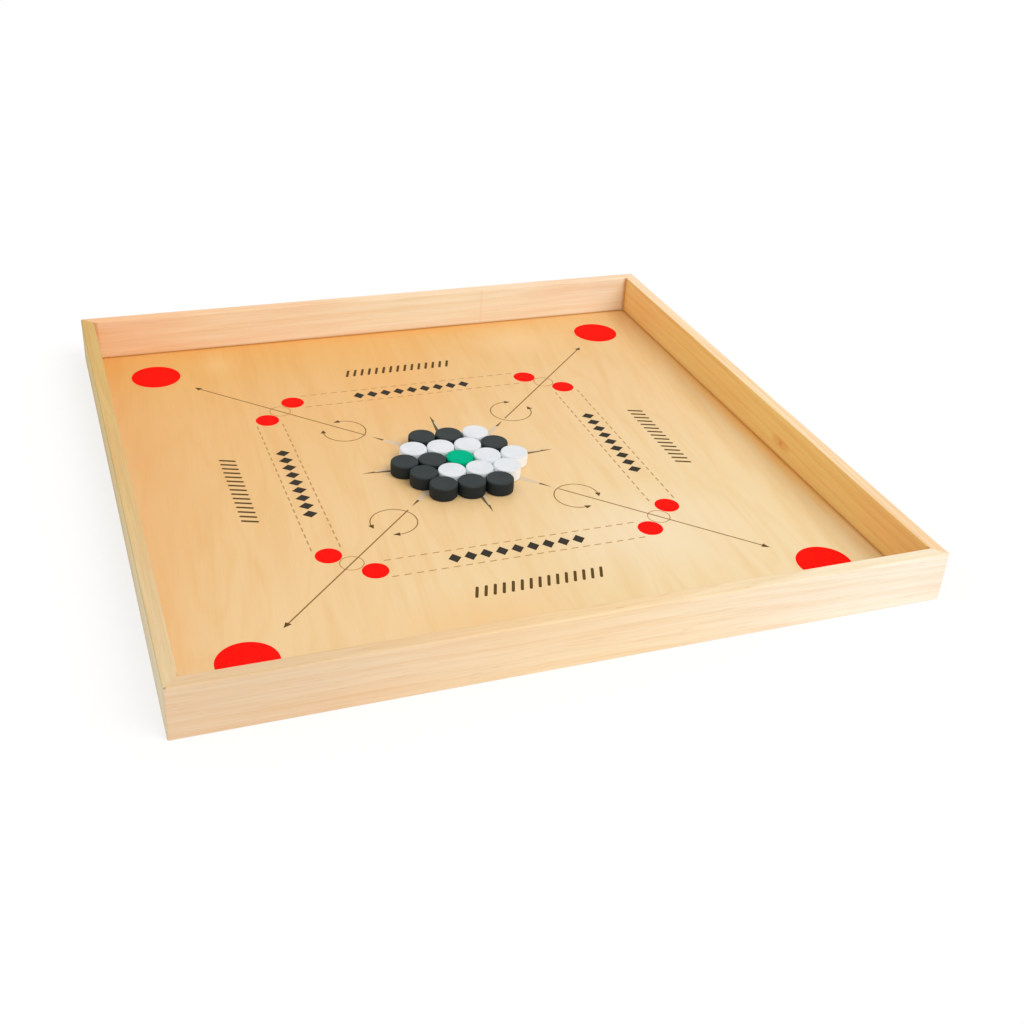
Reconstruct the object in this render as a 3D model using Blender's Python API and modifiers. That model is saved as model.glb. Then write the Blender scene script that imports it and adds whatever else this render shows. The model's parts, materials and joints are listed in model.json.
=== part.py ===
# Wooden tabletop disc billiard game: a square pine tray with a plywood playing panel,
# and nineteen loose discs set out as the opening pack.
# Lengths are in metres, +Z is up, +X runs along the front rail to the right, and the origin
# is under the middle of the tray, on the table.

import math

import bmesh
import bpy
from mathutils import Matrix, Vector

mm = 0.001

# Tray frame: four pine rails, mitred at the corners and rebated for the panel
board_side = 600 * mm
rail_height = 43 * mm
rail_thickness = 11.5 * mm
rail_edge_radius = 1.2 * mm
rail_foot_radius = 0.6 * mm
corner_radius = 1.5 * mm
rebate_width = 6 * mm
mitre_gap = 0.3 * mm

# Playing panel: plywood, nailed into the rebate from below
panel_thickness = 4 * mm
seat_gap = 0.3 * mm

# Discs
disc_diameter = 24.7 * mm
disc_thickness = 12 * mm
disc_edge_radius = 1.3 * mm
disc_gap = 0.3 * mm
pack_shift_x = -6 * mm
pack_shift_y = -12 * mm
pack_turn = math.radians(-4.2)

# Brads: sixteen hold the panel up into the rebate, eight pin the mitres through the side rails
brad_shank_diameter = 1.2 * mm
brad_head_diameter = 2.4 * mm
brad_head_height = 0.8 * mm
brad_point_length = 1.6 * mm
brad_head_recess = 0.3 * mm
brad_clearance = 0.3 * mm
panel_brad_length = 16 * mm
panel_brad_pitch_share = 0.25
corner_brad_length = 22 * mm
corner_brad_pitch = 16 * mm

# One overrun carries every cut past the face it opens
cut_overrun = 2 * mm
weld_distance = 0.01 * mm

# Worked out from the sizes above
half_board = board_side / 2
panel_brad_pitch = board_side * panel_brad_pitch_share
rebate_depth = panel_thickness + seat_gap
inner_half = half_board - rail_thickness
panel_side = 2 * (inner_half + rebate_width - seat_gap)
disc_pitch = disc_diameter + disc_gap
row_pitch = disc_pitch * math.sin(math.radians(60))
disc_floor = panel_thickness + seat_gap

# The opening pack from the back row to the front row: K black, W white, G green
pack_rows = ["KKW", "WWWK", "KKGWW", "KWWW", "KKK"]
panel_brads_per_side = 4
corner_brads_per_corner = 2

# Facets
edge_steps = 3
disc_edge_steps = 2
disc_steps = 32
brad_steps = 8

white_finish = {"colour": (0.80, 0.82, 0.84), "roughness": 0.45, "metallic": 0.0}
black_finish = {"colour": (0.030, 0.032, 0.032), "roughness": 0.48, "metallic": 0.0}
green_finish = {"colour": (0.0, 0.42, 0.22), "roughness": 0.45, "metallic": 0.0}
pine_finish = {"colour": (0.83, 0.66, 0.44), "roughness": 0.50, "metallic": 0.0}
panel_finish = {"colour": (0.84, 0.62, 0.36), "roughness": 0.40, "metallic": 0.0}
brad_finish = {"colour": (0.55, 0.55, 0.56), "roughness": 0.35, "metallic": 1.0}


def clear_scene():
    for obj in list(bpy.data.objects):
        bpy.data.objects.remove(obj, do_unlink=True)


def make_collection(name):
    collection = bpy.data.collections.new(name)
    bpy.context.scene.collection.children.link(collection)
    return collection


def make_material(name, finish):
    material = bpy.data.materials.new(name)
    material.use_nodes = True
    shader = material.node_tree.nodes["Principled BSDF"]
    shader.inputs["Base Color"].default_value = (*finish["colour"], 1.0)
    shader.inputs["Roughness"].default_value = finish["roughness"]
    shader.inputs["Metallic"].default_value = finish["metallic"]
    return material


def add_piece(name, mesh, collection):
    piece = bpy.data.objects.new(name, mesh)
    collection.objects.link(piece)
    return piece


def mark_as_cutter(cutter):
    cutter.display_type = "WIRE"
    cutter.hide_render = True


def arc_points(centre, radius, start_degrees, end_degrees, steps):
    points = []
    for i in range(steps + 1):
        angle = math.radians(start_degrees + (end_degrees - start_degrees) * i / steps)
        points.append((centre[0] + radius * math.cos(angle), centre[1] + radius * math.sin(angle)))
    return points


def prism(name, corners, sweep):
    # A flat outline, given as 3D corners, swept along a straight line
    bm = bmesh.new()
    outline = bm.faces.new([bm.verts.new(corner) for corner in corners])
    swept = bmesh.ops.extrude_face_region(bm, geom=[outline], use_keep_orig=True)
    moved = [item for item in swept["geom"] if isinstance(item, bmesh.types.BMVert)]
    bmesh.ops.translate(bm, verts=moved, vec=sweep)
    bmesh.ops.recalc_face_normals(bm, faces=bm.faces)
    mesh = bpy.data.meshes.new(name)
    bm.to_mesh(mesh)
    bm.free()
    return mesh


def turned_profile(name, points):
    # A half section in the XZ plane, from the top of the axis down the outer side to its foot
    mesh = bpy.data.meshes.new(name)
    edges = [(i, i + 1) for i in range(len(points) - 1)]
    mesh.from_pydata([(radius, 0, height) for radius, height in points], edges, [])
    return mesh


def turn_profile(piece, steps):
    screw = piece.modifiers.new("turned", "SCREW")
    screw.axis = "Z"
    screw.steps = steps
    screw.render_steps = steps
    screw.use_merge_vertices = True
    screw.merge_threshold = weld_distance
    screw.use_smooth_shade = True


def cut_with(piece, cutters):
    cut = piece.modifiers.new("holes_and_corners", "BOOLEAN")
    cut.operation = "DIFFERENCE"
    cut.operand_type = "COLLECTION"
    cut.collection = cutters
    cut.solver = "EXACT"


def rail_section():
    # Across the front rail: y from its outer face inward, z up, with the rebate at the inner foot
    outer = -half_board
    inner = outer + rail_thickness
    rebate_wall = inner - rebate_width
    top = rail_height
    points = arc_points((outer + rail_foot_radius, rail_foot_radius), rail_foot_radius, 270, 180, edge_steps)
    points += arc_points((outer + rail_edge_radius, top - rail_edge_radius), rail_edge_radius, 180, 90, edge_steps)
    points += arc_points((inner - rail_edge_radius, top - rail_edge_radius), rail_edge_radius, 90, 0, edge_steps)
    points += [(inner, rebate_depth), (rebate_wall, rebate_depth), (rebate_wall, 0)]
    return points


def mitre_rail_ends(mesh):
    # Each end is sawn along the tray's diagonal, half a mitre gap short of it
    bm = bmesh.new()
    bm.from_mesh(mesh)
    for side in (-1, 1):
        outward = Vector((side, 1, 0)).normalized()
        everything = list(bm.verts) + list(bm.edges) + list(bm.faces)
        sawn = bmesh.ops.bisect_plane(bm, geom=everything, dist=weld_distance / 10, clear_outer=True,
                                      plane_co=outward * (-mitre_gap / 2), plane_no=outward)
        rim = [item for item in sawn["geom_cut"] if isinstance(item, bmesh.types.BMEdge)]
        bmesh.ops.holes_fill(bm, edges=rim, sides=0)
    bmesh.ops.recalc_face_normals(bm, faces=bm.faces)
    bm.to_mesh(mesh)
    bm.free()


def build_rails(parts, cutters):
    start = -half_board - cut_overrun
    corners = [(start, y, z) for y, z in rail_section()]
    mesh = prism("mitred_rail", corners, Vector((-2 * start, 0, 0)))
    mitre_rail_ends(mesh)
    mesh.materials.append(make_material("pine_rail", pine_finish))
    for name, turn in (("rail_front", 0), ("rail_right", 90), ("rail_back", 180), ("rail_left", 270)):
        rail = add_piece(name, mesh, parts)
        rail.rotation_euler.z = math.radians(turn)
        cut_with(rail, cutters)


def build_panel(parts, cutters):
    half = panel_side / 2
    corners = [(-half, -half, 0), (half, -half, 0), (half, half, 0), (-half, half, 0)]
    mesh = prism("panel_sheet", corners, Vector((0, 0, panel_thickness)))
    mesh.materials.append(make_material("birch_panel", panel_finish))
    panel = add_piece("playing_panel", mesh, parts)
    cut_with(panel, cutters)


def build_corner_cutters(cutters):
    # Rounds the four standing corner edges of the tray
    centre = half_board - corner_radius
    beyond = half_board + cut_overrun
    outline = arc_points((centre, centre), corner_radius, 0, 90, edge_steps)
    outline += [(centre, beyond), (beyond, beyond), (beyond, centre)]
    corners = [(x, y, -cut_overrun) for x, y in outline]
    mesh = prism("corner_rounder", corners, Vector((0, 0, rail_height + 2 * cut_overrun)))
    for i in range(4):
        cutter = add_piece("corner_rounder_%d" % (i + 1), mesh, cutters)
        cutter.rotation_euler.z = math.radians(90 * i)
        mark_as_cutter(cutter)


def brad_profile(length):
    # Point up, head down: height 0 is the wood's surface, which the head lies just under
    shank = brad_shank_diameter / 2
    head = brad_head_diameter / 2
    tip = brad_head_recess + length
    under_head = brad_head_recess + brad_head_height
    return [(0, tip), (shank, tip - brad_point_length), (shank, under_head),
            (head, under_head), (head, brad_head_recess), (0, brad_head_recess)]


def brad_hole_profile(length):
    # The same brad grown by its clearance, open at the surface
    shank = brad_shank_diameter / 2 + brad_clearance
    head = brad_head_diameter / 2 + brad_clearance
    tip = brad_head_recess + length + brad_clearance
    under_head = brad_head_recess + brad_head_height + brad_clearance
    return [(0, tip), (shank, tip), (shank, under_head),
            (head, under_head), (head, -cut_overrun), (0, -cut_overrun)]


def panel_brad_places():
    # Along the middle of the rebate on each side, pointing up
    line = inner_half + rebate_width / 2
    places = []
    for side in range(4):
        turn = math.radians(90 * side)
        for i in range(panel_brads_per_side):
            along = (i - (panel_brads_per_side - 1) / 2) * panel_brad_pitch
            x = along * math.cos(turn) + line * math.sin(turn)
            y = along * math.sin(turn) - line * math.cos(turn)
            places.append(((x, y, 0), (0, 0, 0)))
    return places


def corner_brad_places():
    # Through the outer faces of the side rails into the ends of the front and back rails
    line = half_board - rail_thickness / 2
    middle = (rail_height + rebate_depth) / 2
    places = []
    for side_x in (-1, 1):
        for side_y in (-1, 1):
            for i in range(corner_brads_per_corner):
                height = middle + (i - (corner_brads_per_corner - 1) / 2) * corner_brad_pitch
                place = (side_x * half_board, side_y * line, height)
                places.append((place, (0, math.radians(-90 * side_x), 0)))
    return places


def build_brads(kind, length, places, parts, cutters, material):
    brad_mesh = turned_profile(kind, brad_profile(length))
    brad_mesh.materials.append(material)
    hole_mesh = turned_profile(kind + "_hole", brad_hole_profile(length))
    for i, (location, rotation) in enumerate(places):
        brad = add_piece("%s_%d" % (kind, i + 1), brad_mesh, parts)
        hole = add_piece("%s_hole_%d" % (kind, i + 1), hole_mesh, cutters)
        for piece in (brad, hole):
            piece.location = location
            piece.rotation_euler = rotation
            turn_profile(piece, brad_steps)
        mark_as_cutter(hole)


def disc_profile():
    # A turned disc with eased rims, its foot at height 0
    radius = disc_diameter / 2
    ease = disc_edge_radius
    points = [(0, disc_thickness)]
    points += reversed(arc_points((radius - ease, disc_thickness - ease), ease, 0, 90, disc_edge_steps))
    points += reversed(arc_points((radius - ease, ease), ease, -90, 0, disc_edge_steps))
    points += [(0, 0)]
    return points


def build_discs(parts):
    colours = {"K": ("disc_black", black_finish), "W": ("disc_white", white_finish),
               "G": ("disc_green", green_finish)}
    meshes = {}
    counts = {}
    for letter, (kind, finish) in colours.items():
        meshes[letter] = turned_profile(kind, disc_profile())
        meshes[letter].materials.append(make_material(kind, finish))
        counts[letter] = 0
    turn = Matrix.Rotation(pack_turn, 3, "Z")
    pack_middle = Vector((pack_shift_x, pack_shift_y, disc_floor))
    for row, letters in enumerate(pack_rows):
        back = ((len(pack_rows) - 1) / 2 - row) * row_pitch
        for i, letter in enumerate(letters):
            right = (i - (len(letters) - 1) / 2) * disc_pitch
            counts[letter] += 1
            name = colours[letter][0]
            if letter != "G":
                name = "%s_%d" % (name, counts[letter])
            disc = add_piece(name, meshes[letter], parts)
            disc.location = pack_middle + turn @ Vector((right, back, 0))
            turn_profile(disc, disc_steps)


def main():
    clear_scene()
    parts = make_collection("tabletop_billiard_game")
    cutters = make_collection("tray_cutters")
    steel = make_material("brad_steel", brad_finish)
    build_corner_cutters(cutters)
    build_brads("panel_brad", panel_brad_length, panel_brad_places(), parts, cutters, steel)
    build_brads("corner_brad", corner_brad_length, corner_brad_places(), parts, cutters, steel)
    build_rails(parts, cutters)
    build_panel(parts, cutters)
    build_discs(parts)


main()
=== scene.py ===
import json
import math

import bmesh
import bpy
import numpy as np
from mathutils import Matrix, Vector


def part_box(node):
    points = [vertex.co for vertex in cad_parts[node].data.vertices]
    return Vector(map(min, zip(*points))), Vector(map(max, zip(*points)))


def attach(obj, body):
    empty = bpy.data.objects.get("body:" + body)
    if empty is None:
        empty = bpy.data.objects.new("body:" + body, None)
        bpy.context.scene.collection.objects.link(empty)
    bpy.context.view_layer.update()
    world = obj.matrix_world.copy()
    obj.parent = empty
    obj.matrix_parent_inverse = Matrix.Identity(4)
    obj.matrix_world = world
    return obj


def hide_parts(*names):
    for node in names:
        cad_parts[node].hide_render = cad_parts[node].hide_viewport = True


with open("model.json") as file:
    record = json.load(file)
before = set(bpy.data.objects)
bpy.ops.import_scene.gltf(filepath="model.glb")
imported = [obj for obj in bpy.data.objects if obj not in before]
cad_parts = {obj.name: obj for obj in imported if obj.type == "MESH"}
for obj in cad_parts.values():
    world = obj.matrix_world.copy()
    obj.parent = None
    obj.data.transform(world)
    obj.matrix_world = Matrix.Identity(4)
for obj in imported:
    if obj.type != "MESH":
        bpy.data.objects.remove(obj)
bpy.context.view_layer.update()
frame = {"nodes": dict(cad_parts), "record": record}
mm = 0.001
print("frame loaded:", len(frame["nodes"]), "parts")


def paint(red, green, blue):
    # a colour as it looks on a screen, 0 to 255, turned into the linear value that a shader takes
    screen = np.array([red, green, blue]) / 255.0
    linear = np.where(screen > 0.04045, ((screen + 0.055) / 1.055) ** 2.4, screen / 12.92)
    return (*linear.tolist(), 1.0)


# Mesh helpers

def gridQuads(rows, columns, joinRows=False):
    # quad (i, j) has the corners (i, j), (i, j+1), (i+1, j+1) and (i+1, j). The last column joins the first,
    # and with joinRows the last row joins the first too.
    i = np.arange(rows if joinRows else rows - 1)[:, None]
    j = np.arange(columns)[None, :]
    nextI, nextJ = (i + 1) % rows, (j + 1) % columns
    corners = [i * columns + j, i * columns + nextJ, nextI * columns + nextJ, nextI * columns + j]
    return np.stack(np.broadcast_arrays(*corners), axis=-1).reshape(-1, 4)


def repeated(faces, copies, stride):
    # the same faces for every copy of a shell, copy k shifted by k times the number of points in one
    return (faces[None] + np.arange(copies)[:, None, None] * stride).reshape(-1, faces.shape[1])


def quarterTurns(points):
    # the points at 0, 90, 180 and 270 degrees round the middle of the board: each time (x, y) becomes (-y, x)
    copies = [points]
    for _ in range(3):
        last = copies[-1]
        copies.append(np.stack([-last[..., 1], last[..., 0]], axis=-1))
    return np.concatenate(copies)


def newPiece(name, points, faces, material, body, standsFor=(), sharpAngle=35.0):
    mesh = bpy.data.meshes.new(name)
    mesh.from_pydata(points.reshape(-1, 3).tolist(), [], faces)
    shell = bmesh.new()
    shell.from_mesh(mesh)
    bmesh.ops.recalc_face_normals(shell, faces=shell.faces)  # outwards on every closed shell
    shell.to_mesh(mesh)
    shell.free()
    mesh.shade_smooth()
    mesh.set_sharp_from_angle(angle=math.radians(sharpAngle))
    mesh.materials.append(material)
    piece = bpy.data.objects.new(name, mesh)
    bpy.context.scene.collection.objects.link(piece)
    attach(piece, body)
    if standsFor:
        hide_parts(*standsFor)
    return piece


def turnedShells(profile, centres, segments):
    # profile is (r, z) from the axis at the underside to the axis at the top. It is turned round each centre
    # (cx, cy) as (cx + r cos a, cy + r sin a, z), with one point where it meets the axis at either end.
    a = np.linspace(0, 2 * np.pi, segments, endpoint=False)
    r, z = profile[1:-1, 0][:, None], profile[1:-1, 1][:, None]
    height = np.broadcast_to(z, (len(r), segments))
    rings = np.stack([r * np.cos(a), r * np.sin(a), height], axis=-1).reshape(-1, 3)
    poles = np.array([[0, 0, profile[0, 1]], [0, 0, profile[-1, 1]]])
    one = np.concatenate([rings, poles])
    shift = np.concatenate([centres, np.zeros((len(centres), 1))], axis=1)
    points = one[None] + shift[:, None]
    k = np.arange(segments)
    after = (k + 1) % segments
    lastRing = (len(r) - 1) * segments
    foot = np.stack([k, after, np.full(segments, len(rings))], axis=-1)
    head = np.stack([lastRing + k, lastRing + after, np.full(segments, len(rings) + 1)], axis=-1)
    faces = repeated(gridQuads(len(r), segments), len(centres), len(one)).tolist()
    faces += repeated(np.concatenate([foot, head]), len(centres), len(one)).tolist()
    return points, faces


def roundedSection(corners, steps, support):
    # For a corner c with unit vectors a and b to its neighbours, a radius r and t from 0 to 90 degrees, the
    # section runs c + (r + support) a, c + r (a + b - b cos t - a sin t), c + (r + support) b. It comes back
    # as c, what r multiplies and what the support multiplies, so that r may change along the rail.
    toLast = np.roll(corners, 1, axis=0) - corners
    toNext = np.roll(corners, -1, axis=0) - corners
    a = (toLast / np.linalg.norm(toLast, axis=1, keepdims=True))[:, None]
    b = (toNext / np.linalg.norm(toNext, axis=1, keepdims=True))[:, None]
    t = np.linspace(0, np.pi / 2, steps + 1)[None, :, None]
    arc = a + b - b * np.cos(t) - a * np.sin(t)
    byRadius = np.concatenate([a, arc, b], axis=1)
    bySupport = np.concatenate([a, np.zeros_like(arc), b], axis=1)
    return np.broadcast_to(corners[:, None], byRadius.shape), byRadius, bySupport


# Shader helpers

def addNode(tree, kind, values=None, **settings):
    # a value that is a socket is linked to the input, any other is set on it
    node = tree.nodes.new(kind)
    for setting, value in settings.items():
        setattr(node, setting, value)
    for key, value in (values or {}).items():
        if isinstance(value, bpy.types.NodeSocket):
            tree.links.new(value, node.inputs[key])
        else:
            node.inputs[key].default_value = value
    return node


def worked(tree, operation, first, second=0.0, third=0.0):
    return addNode(tree, "ShaderNodeMath", {0: first, 1: second, 2: third}, operation=operation).outputs[0]


def moved(tree, operation, first, second):
    key = "Scale" if operation == "SCALE" else 1
    return addNode(tree, "ShaderNodeVectorMath", {0: first, key: second}, operation=operation).outputs[0]


def blended(tree, share, under, over, way="MIX"):
    node = addNode(tree, "ShaderNodeMix", {0: share, 6: under, 7: over}, data_type="RGBA", blend_type=way)
    return node.outputs[2]


def ramped(tree, value, start, end, low=0.0, high=1.0):
    values = {"Value": value, "From Min": start, "From Max": end, "To Min": low, "To Max": high}
    return addNode(tree, "ShaderNodeMapRange", values, interpolation_type="SMOOTHSTEP").outputs["Result"]


def stretched(tree, vector, scale, shift=(0.0, 0.0, 0.0), turn=(0.0, 0.0, 0.0)):
    values = {"Vector": vector, "Location": shift, "Rotation": turn, "Scale": scale}
    return addNode(tree, "ShaderNodeMapping", values).outputs["Vector"]


def noised(tree, vector, detail=2.0, roughness=0.5, output="Fac"):
    values = {"Vector": vector, "Scale": 1.0, "Detail": detail, "Roughness": roughness}
    return addNode(tree, "ShaderNodeTexNoise", values).outputs[output]


def spotShare(tree, place, middle, halfSize, core=0.45):
    # 1 in the core of a small ellipsoid of that half size, in mm, falling softly to 0 at its edge
    fromMiddle = moved(tree, "SUBTRACT", place, [value * mm for value in middle])
    scaled = moved(tree, "DIVIDE", fromMiddle, [value * mm for value in halfSize])
    length = addNode(tree, "ShaderNodeVectorMath", {0: scaled}, operation="LENGTH").outputs["Value"]
    return ramped(tree, length, 1.0, core)


def newGroup(name, inputs, outputs):
    group = bpy.data.node_groups.new(name, "ShaderNodeTree")
    for label, kind in inputs:
        group.interface.new_socket(name=label, in_out="INPUT", socket_type=kind)
    for label in outputs:
        group.interface.new_socket(name=label, in_out="OUTPUT", socket_type="NodeSocketFloat")
    return group, group.nodes.new("NodeGroupInput").outputs, group.nodes.new("NodeGroupOutput").inputs


def newMaterial(name, constants):
    material = bpy.data.materials.new(name)
    material.use_nodes = True
    tree = material.node_tree
    shader = tree.nodes["Principled BSDF"]
    for key, value in constants.items():
        shader.inputs[key].default_value = value
    return material, tree, shader


def addBump(tree, shader, height, strength, distance):
    bump = addNode(tree, "ShaderNodeBump", {"Height": height, "Strength": strength, "Distance": distance})
    tree.links.new(bump.outputs["Normal"], shader.inputs["Normal"])


# Shader groups shared by several materials. A scale says how fine a pattern is, in cycles to the metre or so
# along each axis, and a reach gives the two noise values between which a mask goes from 0 to 1.

pineFigure = {
    "swayScale": (3.0, 14.0, 14.0), "streakScale": (5.0, 190.0, 190.0), "fibreScale": (16.0, 620.0, 620.0),
    "fleckScale": (55.0, 1100.0, 1100.0), "patchScale": (6.0, 30.0, 30.0), "fleckReach": (0.67, 0.75),
    "unevenScale": 0.45, "uneven": 1.6, "ringGrows": (0.1, 0.84), "ringEnds": (1.0, 0.82),
    "faintestRing": 0.4, "ringHeight": 0.35, "fibreHeight": 0.65, "fleckHeight": -0.5,
}
plasticFigure = {
    "cloudScale": (60.0, 60.0, 60.0), "peelScale": (1500.0, 1500.0, 1500.0),
    "scuffScale": (90.0, 1500.0, 400.0), "scuffTurn": (0.0, 0.0, 0.6), "scuffReach": (0.64, 0.74),
    "scuffHeight": -0.4,
}
printFigure = {
    "fibreScale": (900.0, 40.0, 1.0), "blotchScale": (130.0, 90.0, 1.0),
    "pinholeScale": (2600.0, 1700.0, 1.0), "pinholeReach": (0.72, 0.78), "cover": 1.06, "fibreShows": 0.12,
    "pinholeShows": 0.30, "blotchShows": 0.05,
}


def makePineGrain(figure):
    # solid pine: rings round a pith that lies off the board and tilts along it, so that every face of a rail
    # shows the cut that it would have, with soft streaks, fibres and short resin flecks drawn out along it
    number, vector = "NodeSocketFloat", "NodeSocketVector"
    labels = [("Place", vector), ("Pith", vector), ("Ring Width", number), ("Tilt", number),
              ("Sway", number), ("Seed", vector)]
    masks = ["Late Wood", "Streak", "Fibre", "Fleck", "Patch", "Height"]
    group, given, result = newGroup("pineGrain", labels, masks)
    seeded = moved(group, "ADD", given["Place"], given["Seed"])

    swayNoise = noised(group, stretched(group, seeded, figure["swayScale"]), 2.0, 0.45, "Color")
    sway = moved(group, "SCALE", moved(group, "SUBTRACT", swayNoise, (0.5, 0.5, 0.5)), given["Sway"])
    fromPith = moved(group, "SUBTRACT", moved(group, "ADD", given["Place"], sway), given["Pith"])
    parts = addNode(group, "ShaderNodeSeparateXYZ", {0: fromPith}).outputs
    squares = [worked(group, "POWER", parts[axis], 2.0) for axis in "YZ"]
    offPith = worked(group, "SQRT", worked(group, "ADD", *squares))
    radius = worked(group, "MULTIPLY_ADD", parts["X"], given["Tilt"], offPith)
    phase = worked(group, "DIVIDE", radius, given["Ring Width"])
    slowed = worked(group, "MULTIPLY", phase, figure["unevenScale"])
    uneven = noised(group, addNode(group, "ShaderNodeCombineXYZ", {0: slowed}).outputs[0])
    phase = worked(group, "MULTIPLY_ADD", uneven, figure["uneven"], phase)
    saw = worked(group, "FRACT", phase)
    grown, ended = ramped(group, saw, *figure["ringGrows"]), ramped(group, saw, *figure["ringEnds"])
    late = worked(group, "MULTIPLY", grown, ended)
    ring = worked(group, "FLOOR", phase)
    eachRing = addNode(group, "ShaderNodeTexWhiteNoise", {"W": ring}, noise_dimensions="1D").outputs["Value"]
    faintest = figure["faintestRing"]
    late = worked(group, "MULTIPLY", late, worked(group, "MULTIPLY_ADD", eachRing, 1 - faintest, faintest))

    streak = noised(group, stretched(group, seeded, figure["streakScale"]), 3.0, 0.55)
    fibre = noised(group, stretched(group, seeded, figure["fibreScale"]), 3.0, 0.6)
    fleckNoise = noised(group, stretched(group, seeded, figure["fleckScale"]), 1.0, 0.4)
    fleck = ramped(group, fleckNoise, *figure["fleckReach"])
    patch = noised(group, stretched(group, seeded, figure["patchScale"]), 2.0, 0.5)
    height = worked(group, "MULTIPLY", fibre, figure["fibreHeight"])
    height = worked(group, "MULTIPLY_ADD", late, figure["ringHeight"], height)
    height = worked(group, "MULTIPLY_ADD", fleck, figure["fleckHeight"], height)
    for label, socket in zip(masks, (late, streak, fibre, fleck, patch, height)):
        group.links.new(socket, result[label])
    return group


def makeMouldedPlastic(figure):
    # what a moulded disc shows close to: fine orange peel, cloudy colour and thin scuffs from play
    masks = ["Cloud", "Scuff", "Height"]
    group, given, result = newGroup("mouldedPlastic", [("Vector", "NodeSocketVector")], masks)
    place = given["Vector"]
    cloud = noised(group, stretched(group, place, figure["cloudScale"]), 3.0, 0.55)
    peel = noised(group, stretched(group, place, figure["peelScale"]), 2.0, 0.5)
    lines = stretched(group, place, figure["scuffScale"], turn=figure["scuffTurn"])
    scuff = ramped(group, noised(group, lines, 2.0, 0.6), *figure["scuffReach"])
    height = worked(group, "MULTIPLY_ADD", scuff, figure["scuffHeight"], peel)
    for label, socket in zip(masks, (cloud, scuff, height)):
        group.links.new(socket, result[label])
    return group


def makePrintCover(figure):
    # how much wood a printed ink hides: nearly all, but less along the fibres below it and at a few pinholes
    group, given, result = newGroup("printCover", [("Vector", "NodeSocketVector")], ["Cover", "Height"])
    place = given["Vector"]
    fibre = noised(group, stretched(group, place, figure["fibreScale"]), 3.0, 0.6)
    blotch = noised(group, stretched(group, place, figure["blotchScale"]), 3.0, 0.6)
    pinhole = noised(group, stretched(group, place, figure["pinholeScale"]), 1.0, 0.4)
    pinhole = ramped(group, pinhole, *figure["pinholeReach"])
    cover = worked(group, "MULTIPLY_ADD", fibre, -figure["fibreShows"], figure["cover"])
    cover = worked(group, "MULTIPLY_ADD", pinhole, -figure["pinholeShows"], cover)
    cover = worked(group, "MULTIPLY_ADD", blotch, -figure["blotchShows"], cover)
    cover.node.use_clamp = True
    group.links.new(cover, result["Cover"])
    group.links.new(worked(group, "ADD", fibre, blotch), result["Height"])
    return group


pineGrain = makePineGrain(pineFigure)
mouldedPlastic = makeMouldedPlastic(plasticFigure)
printCover = makePrintCover(printFigure)
noiseReach = (0.2, 0.8)  # nearly all of a noise lies between these
print("shader groups built")


# Rails

railShape = {
    "topRadius": 1.2, "footRadius": 0.6, "cornerRadius": 1.5, "roundingSteps": 6, "support": 0.5,
    "rebateWidth": 6.0, "rebateRadius": 0.3, "shoulderLift": 0.12, "mitreGap": 0.05,
    "handSanding": 0.16, "sandingWaves": [(0.6, 9.0), (0.4, 23.0)], "sandingPhase": 1.7,
    "stations": 56, "endStations": [3.0, 2.4, 1.9, 1.5, 1.2, 0.9, 0.6, 0.3, 0.0],
}
# The tones run along a rail as it is walked anticlockwise round the tray; they grow paler towards the front
# right, partly wood tone and partly painted light. A face may tint them with painted light and shade, for how
# the lamps and the light bounced from the panel fall on that face. A spot's place is the way walked from the
# rail's middle, the depth in from its outer face and the height, in mm.
railLook = {
    "rail_front": {
        "tones": [paint(226, 198, 165), paint(243, 218, 180), paint(248, 238, 220)],
        "faces": {"top": (1.0, 0.96, 0.85, 1.0)},
        "ringShare": 0.28, "streakShare": 0.48, "fleckShare": 0.30,
        "pith": (0.0, 0.050, -0.036), "ringWidth": 0.0062, "tilt": 0.034, "sway": 0.022,
        "seed": (1.3, 0.2, 0.7),
        "spots": [((-298.6, 1.2, 42.6), (1.8, 1.4, 1.2), paint(132, 104, 70), 0.7)],
    },
    "rail_right": {
        "tones": [paint(250, 219, 177), paint(252, 224, 182), paint(252, 222, 184)],
        "faces": {"inner": (1.0, 0.91, 0.53, 1.0)},
        "ringShare": 0.60, "streakShare": 0.45, "fleckShare": 0.15,
        "pith": (0.0, -0.060, 0.075), "ringWidth": 0.0048, "tilt": 0.018, "sway": 0.012,
        "seed": (2.9, 5.4, 3.3),
        "spots": [((-65.2, 11.5, 18.0), (4.2, 3.0, 3.2), paint(222, 128, 40), 0.75),
                  ((-65.2, 11.5, 18.0), (20.0, 5.0, 6.5), paint(232, 164, 80), 0.55)],
    },
    "rail_back": {
        "tones": [paint(253, 242, 220), paint(251, 240, 216), paint(249, 219, 183)],
        "faces": {"top": (0.97, 0.80, 0.68, 1.0), "outer": (0.97, 0.80, 0.68, 1.0)},
        "ringShare": 0.30, "streakShare": 0.55, "fleckShare": 0.10,
        "pith": (0.0, -0.055, -0.030), "ringWidth": 0.0070, "tilt": 0.020, "sway": 0.016,
        "seed": (4.1, 1.2, 2.7),
        "spots": [((-116.5, 11.5, 24.0), (1.6, 2.0, 34.0), paint(240, 180, 128), 0.16)],
    },
    "rail_left": {
        "tones": [paint(228, 196, 132), paint(234, 204, 156), paint(243, 224, 202)],
        "faces": {"top": (0.85, 0.79, 0.58, 1.0), "outer": (0.82, 0.86, 0.72, 1.0)},
        "ringShare": 0.36, "streakShare": 0.55, "fleckShare": 0.20,
        "pith": (0.0, 0.050, -0.050), "ringWidth": 0.0052, "tilt": 0.026, "sway": 0.015,
        "seed": (7.7, 3.2, 1.9),
        "spots": [],
    },
}
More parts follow.
